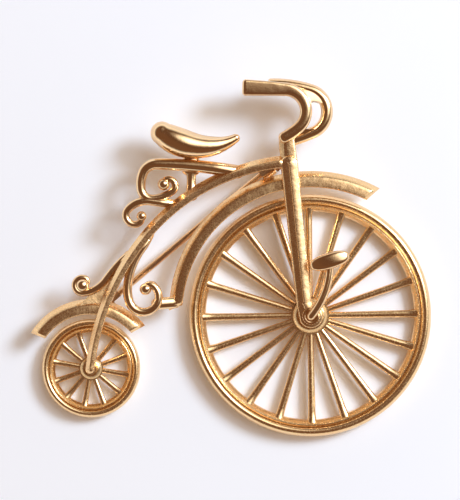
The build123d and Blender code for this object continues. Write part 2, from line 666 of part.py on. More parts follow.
# Hinge: two ears under a base plate on the mudguard's back, and a rivet through them
ear_face = PIN_EYE_WIDTH / 2 + HINGE_SIDE_GAP
base_drop = GUARD_BACK - PIN_LEVEL
with BuildPart() as hinge:
    for sign in (1, -1):
        inner_face = hinge_point + hinge_way * (sign * (ear_face + HINGE_EAR_THICKNESS / 2))
        with BuildSketch(Plane(origin=inner_face, x_dir=pin_way, z_dir=hinge_way * -1)):
            Circle(HINGE_EAR_DIAMETER / 2)
            Rectangle(HINGE_EAR_DIAMETER, base_drop, align=(Align.CENTER, Align.MIN))
            Circle(HINGE_PIN_DIAMETER / 2 + SEAT_GAP, mode=Mode.SUBTRACT)
        extrude(amount=HINGE_EAR_THICKNESS / 2, both=True)
    with Locations(pin_frame.offset(0)):
        with Locations((0, base_drop, 0)):
            Box(
                2 * (ear_face + HINGE_EAR_THICKNESS),
                HINGE_BASE_THICKNESS,
                HINGE_EAR_DIAMETER,
                align=(Align.CENTER, Align.MAX, Align.CENTER),
            )
finish(hinge, "pin_hinge")
with BuildPart(pin_frame) as hinge_rivet:
    Cylinder(HINGE_PIN_DIAMETER / 2, 2 * (ear_face + HINGE_EAR_THICKNESS), rotation=(0, 90, 0))
finish(hinge_rivet, "hinge_rivet")

# Catch: a slotted ring on a neck behind the spine, and a slotted barrel that turns in it
tapered_share = (pin_span.length - CATCH_LENGTH / 2 - shank_end) / PIN_TAPER_LENGTH
pin_in_catch = PIN_DIAMETER + (PIN_TIP_DIAMETER - PIN_DIAMETER) * tapered_share
barrel_bore = pin_in_catch / 2 + BARREL_BORE_GAP
catch_room = CATCH_OUTER_DIAMETER / 2 - barrel_bore - RUNNING_GAP
ring_bore = CATCH_OUTER_DIAMETER / 2 - catch_room * CATCH_WALL_SHARE
neck_shift = (catch_on_spine - catch_point).dot(hinge_way)
with BuildPart() as catch:
    with BuildSketch(catch_frame.offset(-CATCH_LENGTH / 2)):
        Circle(CATCH_OUTER_DIAMETER / 2)
        with Locations((neck_shift, 0)):
            Rectangle(CATCH_NECK_WIDTH, deck - PIN_LEVEL, align=(Align.CENTER, Align.MIN))
        Circle(ring_bore, mode=Mode.SUBTRACT)
        slot = pin_in_catch + 2 * CATCH_SLOT_GAP
        Rectangle(slot, CATCH_OUTER_DIAMETER, align=(Align.CENTER, Align.MAX), mode=Mode.SUBTRACT)
    extrude(amount=CATCH_LENGTH)
    for neighbour in (spine, front_guard, stem):
        add(neighbour.part, mode=Mode.SUBTRACT)
finish(catch, "catch_ring")
barrel_radius = ring_bore - RUNNING_GAP
tab_root = (barrel_radius + barrel_bore) / 2
with BuildPart() as barrel:
    with BuildSketch(catch_frame.offset(-CATCH_LENGTH / 2)):
        Circle(barrel_radius)
        Circle(barrel_bore, mode=Mode.SUBTRACT)
        slot = pin_in_catch + 2 * BARREL_SLOT_GAP
        Rectangle(slot, CATCH_OUTER_DIAMETER, align=(Align.CENTER, Align.MAX), mode=Mode.SUBTRACT)
    extrude(amount=CATCH_LENGTH + BARREL_REACH)
    with BuildSketch(catch_frame.offset(CATCH_LENGTH / 2 + SIDE_GAP)):
        with Locations((-tab_root, 0)):
            tab_length = barrel_radius + BARREL_TAB_REACH - tab_root
            Rectangle(tab_length, BARREL_TAB_WIDTH, align=(Align.MAX, Align.CENTER))
    extrude(amount=BARREL_REACH - SIDE_GAP)
finish(barrel, "catch_barrel")
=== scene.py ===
# %% [markdown]
# # A brooch in the form of a high-wheel bicycle
#
# This is a small cast brooch in gold-tone metal, about 57 mm wide. It lies face up on a white
# table and is seen from straight above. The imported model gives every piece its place, in metres,
# with Z out of the brooch's face. The solids are right in size, but their facets and plain edges
# don't catch light as a polished casting does, so most of them get a finer surface here.

import json

import bmesh
import bpy
import numpy as np
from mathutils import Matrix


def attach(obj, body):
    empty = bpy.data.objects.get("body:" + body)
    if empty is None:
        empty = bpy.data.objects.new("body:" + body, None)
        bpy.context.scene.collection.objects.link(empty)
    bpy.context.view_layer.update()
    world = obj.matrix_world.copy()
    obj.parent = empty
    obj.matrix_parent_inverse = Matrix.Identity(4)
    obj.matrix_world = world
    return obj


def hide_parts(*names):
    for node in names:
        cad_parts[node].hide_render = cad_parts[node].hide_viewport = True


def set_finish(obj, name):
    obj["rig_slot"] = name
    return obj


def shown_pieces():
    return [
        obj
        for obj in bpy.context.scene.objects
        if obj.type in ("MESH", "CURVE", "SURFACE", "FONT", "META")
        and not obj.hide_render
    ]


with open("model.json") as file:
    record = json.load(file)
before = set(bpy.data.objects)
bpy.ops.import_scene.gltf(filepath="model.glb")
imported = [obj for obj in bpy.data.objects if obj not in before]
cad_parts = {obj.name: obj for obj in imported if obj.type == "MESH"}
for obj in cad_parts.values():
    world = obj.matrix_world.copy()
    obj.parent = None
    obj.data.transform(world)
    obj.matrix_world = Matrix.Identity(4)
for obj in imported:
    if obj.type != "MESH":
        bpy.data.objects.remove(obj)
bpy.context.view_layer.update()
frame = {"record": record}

# %% [markdown]
# ## Grids that become meshes
#
# Every surface below is an array of points with rows and columns. Four neighbours make one face.
# A mesh could be grown vertex by vertex with bmesh, but whole arrays are quicker to compute and
# the formula stays in sight. Sizes are written in millimetres, as on a drawing, and become metres
# only when the mesh is made. Rings that shrink to a point are merged there, so poles are closed.

# %% Patches of faces
def patch(points, loop_rows=False, loop_columns=False):
    """Faces of a rows x columns grid: each joins (r, c), (r, c+1), (r+1, c+1), (r+1, c)."""
    rows, columns = points.shape[:2]
    r = np.arange(rows if loop_rows else rows - 1)[:, None]
    c = np.arange(columns if loop_columns else columns - 1)[None, :]
    below, right = (r + 1) % rows, (c + 1) % columns
    corners = (r * columns + c, r * columns + right, below * columns + right, below * columns + c)
    faces = np.stack(np.broadcast_arrays(*corners), axis=-1).reshape(-1, 4)
    return points.reshape(-1, 3), faces


def raised(flat, height):
    """A grid of places in the plane, each lifted to its height."""
    return np.concatenate([flat, np.broadcast_to(height, flat.shape[:2])[:, :, None]], axis=2)


def capped(rings):
    """A run of closed rings, with each end drawn together to the middle of its last ring."""
    first, last = (np.repeat(rings[i].mean(0)[None, None], rings.shape[1], 1) for i in (0, -1))
    return patch(np.concatenate([first, rings, last]), loop_columns=True)


def slab(flat, face, back):
    """P(u, v) at the height face(u, v), joined round its rim to the same grid at a level back."""
    front, behind = raised(flat, face), raised(flat, back)
    return capped(np.concatenate([front, behind[:, ::-1]], axis=1))


print("a slab on a 3 x 4 grid has", len(slab(np.zeros((3, 4, 2)), 1.0, 0.0)[1]), "faces")

# %% From patches to a piece
MM = 0.001
MERGE_GAP = 1e-4 * MM
SHARP_ANGLE = np.radians(38)


def add_piece(name, patches, body, slot, node):
    """Joins closed patches into one mesh that rides on a body and stands for a CAD node."""
    starts = np.cumsum([0] + [len(points) for points, _ in patches[:-1]])
    points = np.concatenate([points for points, _ in patches]) * MM
    faces = np.concatenate([faces + start for start, (_, faces) in zip(starts, patches)])
    mesh = bpy.data.meshes.new(name)
    mesh.from_pydata(points, [], faces)
    work = bmesh.new()
    work.from_mesh(mesh)
    bmesh.ops.remove_doubles(work, verts=work.verts, dist=MERGE_GAP)
    bmesh.ops.dissolve_degenerate(work, edges=work.edges, dist=MERGE_GAP)
    bmesh.ops.recalc_face_normals(work, faces=work.faces)
    work.to_mesh(mesh)
    work.free()
    mesh.shade_smooth()
    mesh.set_sharp_from_angle(angle=SHARP_ANGLE)
    piece = bpy.data.objects.new(name, mesh)
    bpy.context.scene.collection.objects.link(piece)
    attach(piece, body)
    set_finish(piece, slot)
    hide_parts(node)
    print(f"{name}: {len(mesh.polygons)} faces, on body {body}")


print("points closer than", MERGE_GAP / MM, "mm become one")

# %% [markdown]
# ## Paths of tangent arcs
#
# The maker of the pattern drew the spine, the scrolls and the bars as arcs that run smoothly into
# one another. A Bezier curve could follow them too, but arcs give the exact place and heading at
# every point: with a signed radius p, the heading is h + s/p and the place follows from its sine
# and cosine.

# %% Points along a chain of arcs
def arc_path(start, heading, arcs, spacing=0.12):
    """P(s) = P0 + p (sin(h + s/p) - sin h, cos h - cos(h + s/p)) on each arc of signed radius p.

    Each arc is (radius, turn in degrees), and turns left if the turn is positive. Returns the
    points, the heading at each in radians, and each one's share of the length.
    """
    runs, ways = [], []
    place, way = np.array(start, float), np.radians(heading)
    for radius, turn in arcs:
        swing = np.radians(turn)
        angles = way + np.linspace(0, swing, int(radius * abs(swing) / spacing) + 3)
        step = np.stack([np.sin(angles) - np.sin(way), np.cos(way) - np.cos(angles)], axis=1)
        run = place + radius * np.sign(turn) * step
        runs.append(run[:-1])
        ways.append(angles[:-1])
        place, way = run[-1], angles[-1]
    points = np.concatenate([*runs, place[None]])
    ways = np.append(np.concatenate(ways), way)
    lengths = np.append(0, np.cumsum(np.linalg.norm(np.diff(points, axis=0), axis=1)))
    return points, ways, lengths / lengths[-1]


def straight(start, end, count=40):
    """P(t) = (1 - t) start + t end, with its one heading."""
    t = np.linspace(0, 1, count)
    start, end = np.array(start, float), np.array(end, float)
    way = np.arctan2(end[1] - start[1], end[0] - start[0])
    return start + t[:, None] * (end - start), np.full(count, way), t


print("a quarter turn of radius 1 ends at", arc_path((0, 0), 0, [(1.0, 90)])[0][-1].round(3))

# %% Places, headings and widths on a path
def ahead_of(ways):
    """The unit vectors along headings h: (cos h, sin h)."""
    return np.stack([np.cos(ways), np.sin(ways)], axis=-1)


def right_of(ways):
    """The unit vectors to the right of headings h: (sin h, -cos h)."""
    return np.stack([np.sin(ways), -np.cos(ways)], axis=-1)


def at_shares(path, shares):
    """The places at shares of a path's length, on the lines between its points."""
    points, _, own_shares = path
    return np.stack([np.interp(shares, own_shares, points[:, i]) for i in (0, 1)], axis=-1)


def point_near(path, share):
    """The first of the path's own points that isn't short of a share of its length."""
    return path[0][np.searchsorted(path[2], share)]


def round_hub(hub, reach, degrees):
    """The place at a distance and an angle from a hub: hub + r (cos a, sin a)."""
    return hub + reach * ahead_of(np.radians(degrees))


def through(stations, shares):
    """A smooth run through (share, value) stations: cubics with slopes from the neighbours."""
    x, y = np.array(stations, float).T
    slopes = np.gradient(y, x)
    i = np.clip(np.searchsorted(x, shares) - 1, 0, len(x) - 2)
    gap = x[i + 1] - x[i]
    t = (shares - x[i]) / gap
    rise = (2 * t**3 - 3 * t**2 + 1) * y[i] + (3 * t**2 - 2 * t**3) * y[i + 1]
    return rise + (t**3 - 2 * t**2 + t) * gap * slopes[i] + (t**3 - t**2) * gap * slopes[i + 1]


print("heading up the picture is", ahead_of(np.radians(90)).round(3))

# %% [markdown]
# ## Round bars
#
# Scrolls, handlebar, crank and saddle are all bars whose thickness changes along the way. A curve
# object with a bevel would make one too, but the array lets the section be a little square where
# the casting was filed flat, and lets an end be domed or cut.

# %% A bar along a path
quarter = np.linspace(0, np.pi / 2, 9)
# How far each ring of an end stands past the bar, and how wide it is, as shares of the radius.
END_SHAPES = {
    "domed": (np.cos(quarter), np.sin(quarter)),
    "cut": (np.array([0.4, 0.38, 0.3, 0.12]), np.array([0.0, 0.6, 0.84, 0.97])),
}


def bent(wave, power):
    """A wave to a power, with its sign kept: a power below 1 squares a section off."""
    return np.sign(wave) * np.abs(wave) ** power


def round_bar(path, level, radius, power=1.0, tall=1.0, start="domed", sides=32):
    """P(u, v) = path(u) + r(u) (c side + tall s up), with c and s cosine and sine to a power."""
    points, ways, _ = path
    level, radius, power = (
        np.broadcast_to(value, len(points)).astype(float) for value in (level, radius, power)
    )
    past_start, start_width = END_SHAPES[start]
    past_end, end_width = (shape[::-1] for shape in END_SHAPES["domed"])
    reach = np.concatenate([radius[0] * start_width, radius, radius[-1] * end_width])
    past = np.concatenate([-radius[0] * past_start, 0 * radius, radius[-1] * past_end])
    ends = (len(past_start), len(past_end))
    ways, level, power = (np.pad(values, ends, "edge") for values in (ways, level, power))
    centre = np.pad(points, (ends, (0, 0)), "edge") + past[:, None] * ahead_of(ways)
    v = np.linspace(0, 2 * np.pi, sides, endpoint=False)
    across = reach[:, None] * bent(np.cos(v), power[:, None])
    flat = centre[:, None, :] + right_of(ways)[:, None, :] * across[:, :, None]
    height = level[:, None] + tall * reach[:, None] * bent(np.sin(v), power[:, None])
    return patch(raised(flat, height), loop_columns=True)


def ball(centre, level, radius, rows=25, sides=48):
    """P(u, v) = centre + radius (sin u cos v, sin u sin v, cos u)."""
    u = np.linspace(0, np.pi, rows)[:, None]
    v = np.linspace(0, 2 * np.pi, sides, endpoint=False)[None, :]
    x = centre[0] + radius * np.sin(u) * np.cos(v)
    y = centre[1] + radius * np.sin(u) * np.sin(v)
    z = level + radius * np.cos(u) * np.ones_like(v)
    return patch(np.stack([x, y, z], axis=2), loop_columns=True)


print("a ball has", len(ball((0, 0), 0, 1)[1]), "faces")

# %% [markdown]
# ## Plates with dressed edges
#
# Spine, fork and stem are flat castings with one edge dressed wide and the other just rounded. A
# Bevel modifier would treat both edges alike, so here the edge's own profile is carried round the
# outline: each profile point says how far in from the edge it is, and how high.

# %% Three kinds of edge
def swept(top, width, drop, count=6):
    """An edge rounded by a quarter ellipse: inset w (1 - cos a), height top - d + d sin a."""
    a = np.linspace(0, np.pi / 2, count)
    return np.stack([width * (1 - np.cos(a)), top - drop + drop * np.sin(a)], axis=1)


def rounded(top, radius):
    """An edge rounded by a quarter circle, which is a quarter ellipse with equal halves."""
    return swept(top, radius, radius)


def bevelled(top, width, drop):
    """A flat bevel with both corners broken: shares t of its width in, and of its drop up."""
    t = np.array([0.0, 0.03, 0.12, 0.88, 0.97, 1.03])
    rise = np.array([-0.06, 0.02, 0.13, 0.9, 0.985, 1.0])
    return np.stack([t * width, top - drop + rise * drop], axis=1)


print("a bevel of 1 by 1 runs", bevelled(1.0, 1.0, 1.0).round(2).tolist())

# %% A profile carried round an outline
MOST_INSET = 0.9
FAN_STEPS, LAND_STEPS = 25, 7


def dressed_plate(path, half_width, back, right_edge, left_edge, crown=0.06):
    """P(u, v) = c(u) + n(u) (w(u) - inset(v)), height(v), round the outline of a widened path.

    Each edge is a list of (inset, height), and both end at the same height, so that the land
    between them meets in the middle. It is crowned: it rises there by crown (1 - (1 - t)^2).
    """
    points, ways, _ = path
    half_width = np.broadcast_to(half_width, len(points)).astype(float)
    side, forward = right_of(ways), ahead_of(ways)
    fan = np.linspace(0, np.pi, FAN_STEPS)[1:-1, None]

    def round_trip(values):
        """Values along the path, held round its end, back again, and held round its start."""
        held_end, held_start = (np.repeat(one, len(fan), 0) for one in (values[-1:], values[:1]))
        return np.concatenate([values, held_end, values[::-1], held_start])

    centre, reach = round_trip(points), round_trip(half_width)[:, None]
    round_end = np.cos(fan) * side[-1] + np.sin(fan) * forward[-1]
    round_start = -np.cos(fan) * side[0] - np.sin(fan) * forward[0]
    normal = np.concatenate([side, round_end, -side[::-1], round_start])
    to_left = fan[:, 0] / np.pi
    along = np.zeros(len(points))
    turned_left = np.concatenate([along, to_left, along + 1, 1 - to_left])[:, None, None]
    right_edge, left_edge = np.array(right_edge, float), np.array(left_edge, float)
    edge = right_edge + turned_left * (left_edge - right_edge)
    inset, height = np.minimum(edge[:, :, 0], MOST_INSET * reach), edge[:, :, 1]
    t = np.linspace(0, 1, LAND_STEPS)[None, 1:]
    land_inset = inset[:, -1:] + t * (reach - inset[:, -1:])
    land_height = height[:, -1:] + crown * (1 - (1 - t) ** 2)
    low = np.full_like(reach, back)
    inset = np.concatenate([reach, np.zeros_like(reach), inset, land_inset], axis=1)
    height = np.concatenate([low, low, height, land_height], axis=1)
    flat = centre[:, None, :] + normal[:, None, :] * (reach - inset)[:, :, None]
    return patch(raised(flat, height), loop_rows=True)


small_edge = rounded(1.0, 0.2)
small_plate = dressed_plate(straight((0, 0), (9, 0)), 2.0, 0.0, small_edge, small_edge)
print("a plate with two round edges has", len(small_plate[1]), "faces")

# %% [markdown]
# ## Turned rings
#
# Beads, hubs, axles and bosses are round about an axle, so a profile is turned about it. The Screw
# modifier does the same, with the profile as a mesh of its own. Here the profile is one array.

# %% A profile turned about an axle
def turned(hub, profile, closed, steps):
    """P(u, v) = hub + r(v) (cos u, sin u), z(v), for a profile (r, z), closed or from the axle."""
    profile = np.array(profile, float)
    u = np.linspace(0, 2 * np.pi, steps, endpoint=False)[:, None]
    x = hub[0] + profile[:, 0] * np.cos(u)
    y = hub[1] + profile[:, 0] * np.sin(u)
    z = np.broadcast_to(profile[:, 1], x.shape)
    return patch(np.stack([x, y, z], axis=2), loop_rows=True, loop_columns=closed)


print("a cone of 8 sides has", len(turned((0, 0), [(0, 0), (1, 0), (0, 1)], False, 8)[1]), "faces")

# %% [markdown]
# ## Where things are
#
# The drawing's own numbers set out the frame: the head, where spine, fork and stem meet, the hub
# of the large wheel below it, and the spine that runs in two arcs to the hub of the small wheel.
# The frame's bars lie on one level, the deck, in front of wheels and mudguards.

# %% Head, hubs and spine
DECK = 4.0
HEAD = np.array([8.12, 13.18])
FRONT_HUB = HEAD + [3.04, -21.4]
SPINE_START, SPINE_HEADING = HEAD + [-1.5, 0.27], 187.4
SPINE_ARCS = [(29.1, 43.6), (35.4, 33.1)]
SPINE_LENGTH = round(sum(radius * np.radians(turn) for radius, turn in SPINE_ARCS), 3)
spine_path = arc_path(SPINE_START, SPINE_HEADING, SPINE_ARCS, spacing=0.25)
REAR_HUB = spine_path[0][-1]


def on_spine(length):
    """The place and heading at a length along the spine, or back from its tail if negative."""
    share = (length / SPINE_LENGTH) % 1
    return at_shares(spine_path, share), np.interp(share, spine_path[2], spine_path[1])


print("front hub", FRONT_HUB, "rear hub", REAR_HUB.round(3), "spine", SPINE_LENGTH, "mm")

# %% [markdown]
# ## Fork
#
# The fork is a blade from the head to an eye round the front axle. Its left edge was dressed with
# a broad sweep, which leaves a smooth light flank beside a grained front. It could be one extruded
# outline with a bevel. Here it is three plates that run into one another, so that the flank goes
# on over the eye. A plate's right edge is the one on the right of somebody who walks its path,
# and this path runs down the picture, so that is the picture's left.

# %% Fork
FORK_TOP, FORK_CROWN = DECK + 1.7, 0.14
HEAD_HALF, FOOT_HALF, FLANK_HALF, EYE_HALF = 1.225, 1.075, 1.35, 1.7
FLANK_WIDTH, EYE_FLANK_WIDTH, FLANK_DROP = 1.1, 0.9, 0.5
SMALL_ROUND = 0.3
EYE_ROWS = 12
APART = 0.02
fork_foot = FRONT_HUB + [-0.95, 1.7]
blade, eye_run = straight(HEAD, fork_foot), straight(fork_foot, FRONT_HUB, EYE_ROWS)
blade_half = HEAD_HALF + blade[2] * (FOOT_HALF - HEAD_HALF)
fork_land = FORK_TOP - FORK_CROWN
fork_edge = rounded(fork_land, SMALL_ROUND)
eye_edge = rounded(FORK_TOP - SMALL_ROUND, SMALL_ROUND)
# The second plate over the eye starts a hair higher, so that the two don't merge at the back.
add_piece(
    "fork_blade",
    [
        dressed_plate(blade, blade_half, DECK,
                      swept(fork_land, FLANK_WIDTH, FLANK_DROP), fork_edge, FORK_CROWN),
        dressed_plate(eye_run, np.linspace(FOOT_HALF, EYE_HALF, EYE_ROWS), DECK,
                      eye_edge, eye_edge),
        dressed_plate(eye_run, np.linspace(FOOT_HALF, FLANK_HALF, EYE_ROWS), DECK + APART,
                      swept(fork_land, EYE_FLANK_WIDTH, FLANK_DROP), fork_edge, FORK_CROWN),
    ],
    "frame", "satin_gold", "fork",
)

# %% [markdown]
# ## Spine and stem
#
# The spine is the curved backbone, which thins towards its tail, and the stem is the short neck
# that carries the handlebar. Both have a flat bevel along one edge, filed before plating: the
# spine's faces up and left, the stem's faces left. A bevelled curve object would get the spine's
# bend, but not a bevel on one side only, so both are plates with two different edges.

# %% Spine and stem
SPINE_TOP, SPINE_CROWN = DECK + 1.5, 0.05
SPINE_HALF, TAIL_HALF = 0.875, 0.625
SPINE_BEVEL_WIDTH, SPINE_BEVEL_DROP, SPINE_ROUND = 0.76, 0.7, 0.25
spine_land = SPINE_TOP - SPINE_CROWN
spine_half = SPINE_HALF + spine_path[2] * (TAIL_HALF - SPINE_HALF)
spine_bevel = bevelled(spine_land, SPINE_BEVEL_WIDTH, SPINE_BEVEL_DROP)
spine_edge = rounded(spine_land, SPINE_ROUND)
add_piece(
    "spine_bar",
    [dressed_plate(spine_path, spine_half, DECK, spine_bevel, spine_edge, SPINE_CROWN)],
    "frame", "satin_gold", "spine",
)
STEM_BACK, STEM_LAND = 2.6, 5.24
STEM_END, STEM_END_HALF, STEM_ROWS = HEAD + [-0.35, 3.6], 1.1, 16
STEM_BEVEL_WIDTH, STEM_BEVEL_DROP = 0.7, 0.5
stem_path = straight(HEAD, STEM_END, STEM_ROWS)
stem_half = np.linspace(HEAD_HALF, STEM_END_HALF, STEM_ROWS)
stem_edge = rounded(STEM_LAND, SMALL_ROUND)
stem_bevel = bevelled(STEM_LAND, STEM_BEVEL_WIDTH, STEM_BEVEL_DROP)
add_piece(
    "bar_stem",
    [dressed_plate(stem_path, stem_half, STEM_BACK, stem_edge, stem_bevel)],
    "frame", "satin_gold", "stem",
)

# %% [markdown]
# ## Mudguards
#
# Each mudguard is a flat band round its wheel with a bevelled outer edge and slanted ends. Its
# section could be extruded along a circle and cut, but the slant is easier as a formula: the angle
# at which the band starts depends on the distance from the hub. The large one also narrows a
# little towards its rear end.

# %% Bands round the wheels
BAND_BACK, BAND_TOP = 2.6, DECK
BAND_SLANT = 2.8
BAND_ROWS = 160
END_RUN, END_DROP = 0.4, 0.42


def guard_band(hub, inner, width, first, last, taper=0.0):
    """P(u, v) = hub + r(v) (cos a, sin a), z(v), where a starts at first + slant (R - r) / width.

    The section runs along the back, up the bevel at its outer edge and over the front. Near both
    ends the front drops a little, like a corner that was rubbed round.
    """
    section = np.array([
        (0.0, BAND_BACK), (width, BAND_BACK),
        (width, BAND_TOP - 0.9), (width - 0.03, BAND_TOP - 0.84),
        (width - 0.84, BAND_TOP - 0.12), (width - 0.92, BAND_TOP - 0.08),
        (width * 0.45, BAND_TOP - 0.04), (width * 0.3, BAND_TOP), (0.3, BAND_TOP + 0.03),
        (0.13, BAND_TOP + 0.03), (0.03, BAND_TOP - 0.05), (0.0, BAND_TOP - 0.2),
    ])
    t = np.linspace(0, 1, BAND_ROWS)[:, None]
    reach = inner + section[:, 0] * (1 - taper * t**2)
    shift = BAND_SLANT * (width - section[:, 0]) / width
    angle = np.radians(first + shift + t * (last - first - 2 * shift))
    x = hub[0] + reach * np.cos(angle)
    y = hub[1] + reach * np.sin(angle)
    from_end = np.minimum(t, 1 - t) * np.radians(last - first) * inner
    drop = np.clip(END_DROP * (1 - from_end / END_RUN), 0, None)
    z = np.maximum(section[:, 1] - drop * (section[:, 1] > BAND_BACK), BAND_BACK)
    return capped(np.stack([x, y, z], axis=2))


front_band = guard_band(FRONT_HUB, inner=18.15, width=2.35, first=61.4, last=178.0, taper=0.2)
rear_band = guard_band(REAR_HUB, inner=7.7, width=2.15, first=38.4, last=149.0)
add_piece("front_guard_band", [front_band], "frame", "satin_gold", "front_mudguard")
add_piece("rear_guard_band", [rear_band], "frame", "satin_gold", "rear_mudguard")

# %% [markdown]
# ## Scrolls
#
# Four scrolls grow out of the spine and curl up to a polished ball. On the real casting they are
# round bars that swell and thin like a drawn line. They could be curves with a taper object. Here
# each is a bar with its own thickness along the way and a ball at its end, which needs no helper
# objects, and its root sinks smoothly into the spine.

# %% Lines of the scrolls
# A root is set out from a station along the spine, counted back from the tail if negative: so far
# ahead of it, so far out to its right, and veering off its heading. Sink is the share of the
# scroll's length over which the root rises to the scroll's own level.
SCROLLS = {
    "seat_rail": dict(
        station=15.8, ahead=-9.69, outward=-1.66, veer=-48.55,
        level=4.72, sink=0.1409, ball_size=1.75,
        arcs=[(70.7, 9.3), (2.06, 68.5), (4.15, 33.3), (1.55, 86.1), (5.97, 27.7),
              (0.96, 169.2), (0.55, 82.2)],
        widths=[(0.0, 1.9), (0.2, 1.8), (0.42, 1.65), (0.6, 1.4), (1.0, 0.85)],
    ),
    "upper": dict(
        station=15.8, ahead=0.0, outward=0.36, veer=-38.3,
        level=4.72, sink=0.1878, ball_size=1.45,
        arcs=[(19.0, -10.1), (3.54, 58.1), (1.28, 131.6), (0.96, 101.8)],
        widths=[(0.0, 1.2), (0.4, 1.25), (1.0, 0.95)],
    ),
    "rear": dict(
        station=-17.2, ahead=0.0, outward=0.45, veer=-13.8,
        level=4.3, sink=0.1174, ball_size=1.95,
        arcs=[(22.4, 12.4), (4.49, -48.2), (1.07, -200.0), (0.535, -180.0)],
        widths=[(0.0, 0.95), (0.5, 1.05), (1.0, 0.85)],
    ),
    "lower": dict(
        station=-21.3, ahead=0.0, outward=-0.35, veer=18.4,
        level=4.3, sink=0.1174, ball_size=1.7,
        arcs=[(9.2, -15.0), (10.0, 33.9), (5.3, 22.3), (2.11, 208.4), (0.7, 126.2)],
        widths=[(0.0, 1.1), (0.4, 1.3), (1.0, 1.1)],
    ),
}


def scroll_path(scroll):
    """The scroll's arcs, from a root that is set out from a station on the spine."""
    place, way = on_spine(scroll["station"])
    root = place + scroll["ahead"] * ahead_of(way) + scroll["outward"] * right_of(way)
    return arc_path(root, np.degrees(way) + scroll["veer"], scroll["arcs"])


scroll_paths = {label: scroll_path(scroll) for label, scroll in SCROLLS.items()}
curl_ends = {label: path[0][-1].round(2).tolist() for label, path in scroll_paths.items()}
print("curls end at", curl_ends)

# %% Bars, balls and one lug
ROOT_SINK = 0.6
LUG_SHARE, LUG_HALF, LUG_FLATNESS, LUG_ROWS = 0.78, 0.85, 0.65, 12
LUG_DROP, LUG_END_LEVEL = 0.3, 3.4
GUARD_END_REACH, GUARD_END_ANGLE = 19.3, 174.4
lug_start = point_near(scroll_paths["lower"], LUG_SHARE)
guard_end = round_hub(FRONT_HUB, GUARD_END_REACH, GUARD_END_ANGLE)
lug_levels = np.linspace(SCROLLS["lower"]["level"] - LUG_DROP, LUG_END_LEVEL, LUG_ROWS)
lug = round_bar(straight(lug_start, guard_end, LUG_ROWS), lug_levels, LUG_HALF, tall=LUG_FLATNESS)
for label, scroll in SCROLLS.items():
    path = scroll_paths[label]
    sunk = ROOT_SINK * np.clip(1 - path[2] / scroll["sink"], 0, 1) ** 2
    patches = [
        round_bar(path, scroll["level"] - sunk, through(scroll["widths"], path[2]) / 2),
        ball(path[0][-1], scroll["level"], scroll["ball_size"] / 2),
    ]
    if label == "lower":
        patches.append(lug)
    add_piece(f"scroll_{label}_curl", patches, "frame", "bright_gold", f"scroll_{label}")

# %% [markdown]
# ## Saddle
#
# The saddle is a polished horn, thick at its back and drawn out to a point. It could be lofted
# between a few circles. As a bar with a smooth run of radii it gets the long even highlights that
# the real one shows.

# %% Saddle
RAIL_SHARE = 0.261
SADDLE_FROM_RAIL, SADDLE_HEADING = np.array([-4.08, 4.59]), -34.6
SADDLE_ARCS = [(10.9, 30.2), (8.55, 34.9)]
SADDLE_LEVEL = 4.9
SADDLE_WIDTHS = [
    (0.0, 3.3), (0.09, 3.75), (0.27, 4.05), (0.52, 3.4), (0.72, 2.65), (0.89, 1.75), (1.0, 1.25),
]
rail_at = point_near(scroll_paths["seat_rail"], RAIL_SHARE)
saddle_path = arc_path(rail_at + SADDLE_FROM_RAIL, SADDLE_HEADING, SADDLE_ARCS)
saddle_radii = through(SADDLE_WIDTHS, saddle_path[2]) / 2
add_piece("saddle_horn", [round_bar(saddle_path, SADDLE_LEVEL, saddle_radii, sides=64)],
          "frame", "bright_gold", "saddle")

# %% [markdown]
# ## Posts under the saddle
#
# A slim post stands between spine and seat rail, and a broad one between rail and saddle. A plain
# cylinder would meet the bars in a hard line. Cast metal is waisted where two bars meet, so here
# the half width grows with the square of the distance from the post's middle.

# %% Two waisted posts
POST_LEVEL = 4.3
POST_ROWS = 24


def post(foot, top, waist, flare, thickness):
    """A bar whose half width is w + f (2t - 1)^2, and whose height keeps one share of its width."""
    path = straight(foot, top, POST_ROWS)
    half = waist / 2 + flare * (2 * path[2] - 1) ** 2
    return round_bar(path, POST_LEVEL, half, tall=thickness / waist, sides=40)


STRUT_STATION, NECK_SHARE = 13.2, 0.402
strut = post(on_spine(STRUT_STATION)[0], rail_at, waist=1.3, flare=0.3, thickness=1.0)
neck_top = point_near(saddle_path, NECK_SHARE)
neck = post(rail_at, neck_top, waist=2.2, flare=0.45, thickness=1.1)
add_piece("seat_strut_post", [strut], "frame", "bright_gold", "seat_strut")
add_piece("seat_neck_post", [neck], "frame", "bright_gold", "seat_neck")

# %% [markdown]
# ## Gusset
#
# A low web fills the corner between rear scroll, spine and rear mudguard. It could be a face drawn
# by hand and made solid. As a ruled surface it follows its neighbours by itself: one side runs
# along the scroll, the other across the mudguard's crown to the spine, and straight lines join
# them. Its front is a plane with a slight tilt to the right, which turns it to the light.

# %% Web in the rear corner
GUSSET_FACE, GUSSET_BACK = 3.88, 2.9
GUSSET_FALL, FALL_WAY = 0.125, np.radians(38.0)
SCROLL_SHARE, SPINE_STATION = 0.5, -8.7
CROWN_REACH, CROWN_ANGLE = 9.05, 100.0
u = np.linspace(0, 1, 40)[:, None]
v = np.linspace(0, 1, 24)[None, :, None]
upper_edge = at_shares(scroll_paths["rear"], SCROLL_SHARE * (1 - u[:, 0]))
guard_crown = round_hub(REAR_HUB, CROWN_REACH, CROWN_ANGLE)
lower_edge = guard_crown + u * (on_spine(SPINE_STATION)[0] - guard_crown)
corner = upper_edge[:, None, :] * (1 - v) + lower_edge[:, None, :] * v
corner_face = GUSSET_FACE - GUSSET_FALL * ((corner - guard_crown) @ ahead_of(FALL_WAY))
add_piece("gusset_web", [slab(corner, corner_face, GUSSET_BACK)], "frame", "satin_gold", "gusset")

